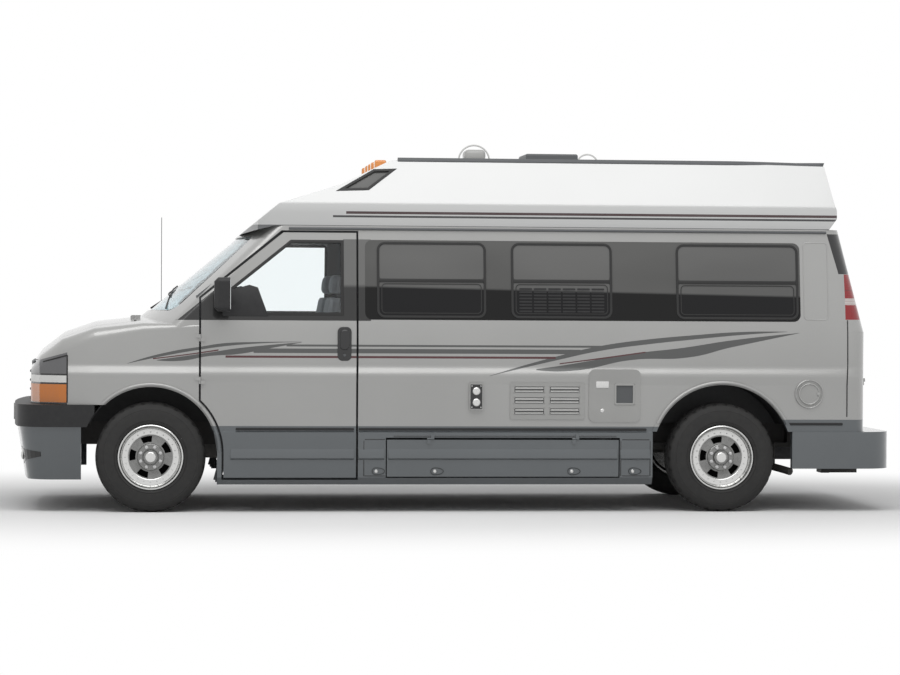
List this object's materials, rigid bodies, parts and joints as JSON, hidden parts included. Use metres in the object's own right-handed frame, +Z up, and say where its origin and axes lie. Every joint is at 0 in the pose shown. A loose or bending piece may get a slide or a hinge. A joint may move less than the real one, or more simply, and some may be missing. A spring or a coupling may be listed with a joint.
{
  "type": "camper van",
  "caption": "Long camper van with a raised roof, dark window band, hinged doors and hood, a lower storage locker, steered front wheels and a small living space inside.",
  "frame": {"origin": "on the ground under the middle of the overall box", "axes": "+X along the length towards the rear bumper, -Y towards the driver's side, +Z up"},
  "size_m": [6.0898, 2.48, 2.575],
  "materials": {
    "silver_paint": "metallic gloss",
    "white_fibreglass": "gloss",
    "dark_plastic": "satin",
    "black_plastic": "satin",
    "light_plastic": "satin",
    "clear_glass": "polished",
    "dark_glass": "polished",
    "lamp_lens": "clear",
    "red_lens": "clear",
    "painted_steel": "satin",
    "chassis_steel": "satin",
    "brushed_rod": "brushed",
    "cast_metal": "cast",
    "seat_fabric": "woven",
    "cabinet_wood": "lacquered",
    "polished_alloy": "polished",
    "tyre_rubber": "moulded"
  },
  "bodies": {
    "van": {"floor_pan": "painted_steel", "bulkhead": "painted_steel", "wheel_housings": "black_plastic", "chassis_frame": "chassis_steel", "cross_members": "chassis_steel", "hitch_receiver": "chassis_steel", "side_wall_left": "silver_paint", "side_wall_right": "silver_paint", "front_fenders": "silver_paint", "windscreen_frame": "silver_paint", "rear_frame": "silver_paint", "high_roof": "white_fibreglass", "front_bumper": "dark_plastic", "front_air_dam": "dark_plastic", "rear_bumper": "dark_plastic", "side_skirts": "dark_plastic", "windscreen": "clear_glass", "side_glass": "dark_glass", "grille": "dark_plastic", "headlamps": "lamp_lens", "tail_lamps": "red_lens", "utility_fittings": "light_plastic", "roof_vents": "dark_plastic", "roof_hoops": "brushed_rod", "powertrain": "cast_metal", "fuel_tank": "painted_steel", "front_suspension": "chassis_steel", "rear_axle": "chassis_steel", "dashboard": "light_plastic", "front_seats": "seat_fabric", "galley": "cabinet_wood", "rear_bench": "seat_fabric"},
    "door_front_left": {"door_front_left": "silver_paint", "door_glass_left": "clear_glass", "mirror_left": "black_plastic"},
    "door_front_right": {"door_front_right": "silver_paint", "door_glass_right": "clear_glass", "mirror_right": "black_plastic"},
    "side_door_front": {"side_door_front": "silver_paint", "side_door_glass_front": "dark_glass"},
    "side_door_rear": {"side_door_rear": "silver_paint", "side_door_glass_rear": "dark_glass"},
    "rear_door_left": {"rear_door_left": "silver_paint", "rear_glass_left": "dark_glass"},
    "rear_door_right": {"rear_door_right": "silver_paint", "rear_glass_right": "dark_glass"},
    "hood": {"hood": "silver_paint"},
    "storage_lid": {"storage_lid": "dark_plastic"},
    "knuckle_left": {"knuckle_left": "cast_metal"},
    "knuckle_right": {"knuckle_right": "cast_metal"},
    "wheel_front_left": {"wheel_front_left": "polished_alloy", "tyre_front_left": "tyre_rubber"},
    "wheel_front_right": {"wheel_front_right": "polished_alloy", "tyre_front_right": "tyre_rubber"},
    "wheel_rear_left": {"wheel_rear_left": "polished_alloy", "tyre_rear_left": "tyre_rubber"},
    "wheel_rear_right": {"wheel_rear_right": "polished_alloy", "tyre_rear_right": "tyre_rubber"}
  },
  "joints": [
    {"name": "door_front_left_hinge", "type": "hinge", "parent": "van", "child": "door_front_left", "pos_m": [-1.764, -1.005, 1], "axis": [0, 0, -1], "range_deg": [0, 70]},
    {"name": "door_front_right_hinge", "type": "hinge", "parent": "van", "child": "door_front_right", "pos_m": [-1.764, 1.005, 1], "axis": [0, 0, 1], "range_deg": [0, 70]},
    {"name": "side_door_front_hinge", "type": "hinge", "parent": "van", "child": "side_door_front", "pos_m": [-0.642, 1.012, 1.01], "axis": [0, -0.0599, 0.9982], "range_deg": [0, 90]},
    {"name": "side_door_rear_hinge", "type": "hinge", "parent": "van", "child": "side_door_rear", "pos_m": [0.587, 1.012, 1.01], "axis": [0, 0.0599, -0.9982], "range_deg": [0, 90]},
    {"name": "rear_door_left_hinge", "type": "hinge", "parent": "van", "child": "rear_door_left", "pos_m": [2.864, -0.779, 1.25], "axis": [0.0599, 0, -0.9982], "range_deg": [0, 150]},
    {"name": "rear_door_right_hinge", "type": "hinge", "parent": "van", "child": "rear_door_right", "pos_m": [2.864, 0.779, 1.25], "axis": [-0.0599, 0, 0.9982], "range_deg": [0, 150]},
    {"name": "hood_hinge", "type": "hinge", "parent": "van", "child": "hood", "pos_m": [-2.204, 0, 1.327], "axis": [0, 1, 0], "range_deg": [0, 50]},
    {"name": "storage_lid_hinge", "type": "hinge", "parent": "van", "child": "storage_lid", "pos_m": [0.314, -1.008, 0.505], "axis": [-1, 0, 0], "range_deg": [0, 100]},
    {"name": "steer_left", "type": "hinge", "parent": "van", "child": "knuckle_left", "pos_m": [-2.095, -0.79, 0.375], "axis": [0, 0, 1], "range_deg": [-35, 35]},
    {"name": "steer_right", "type": "hinge", "parent": "van", "child": "knuckle_right", "pos_m": [-2.095, 0.79, 0.375], "axis": [0, 0, 1], "range_deg": [-35, 35]},
    {"name": "spin_front_left", "type": "hinge", "parent": "knuckle_left", "child": "wheel_front_left", "pos_m": [-2.095, -0.865, 0.375], "axis": [0, -1, 0], "continuous": true},
    {"name": "spin_front_right", "type": "hinge", "parent": "knuckle_right", "child": "wheel_front_right", "pos_m": [-2.095, 0.865, 0.375], "axis": [0, -1, 0], "continuous": true},
    {"name": "spin_rear_left", "type": "hinge", "parent": "van", "child": "wheel_rear_left", "pos_m": [1.842, -0.865, 0.375], "axis": [0, -1, 0], "continuous": true},
    {"name": "spin_rear_right", "type": "hinge", "parent": "van", "child": "wheel_rear_right", "pos_m": [1.842, 0.865, 0.375], "axis": [0, -1, 0], "continuous": true}
  ],
  "couplings": [
    {"joint": "steer_right", "follows": "steer_left", "ratio": 1}
  ]
}
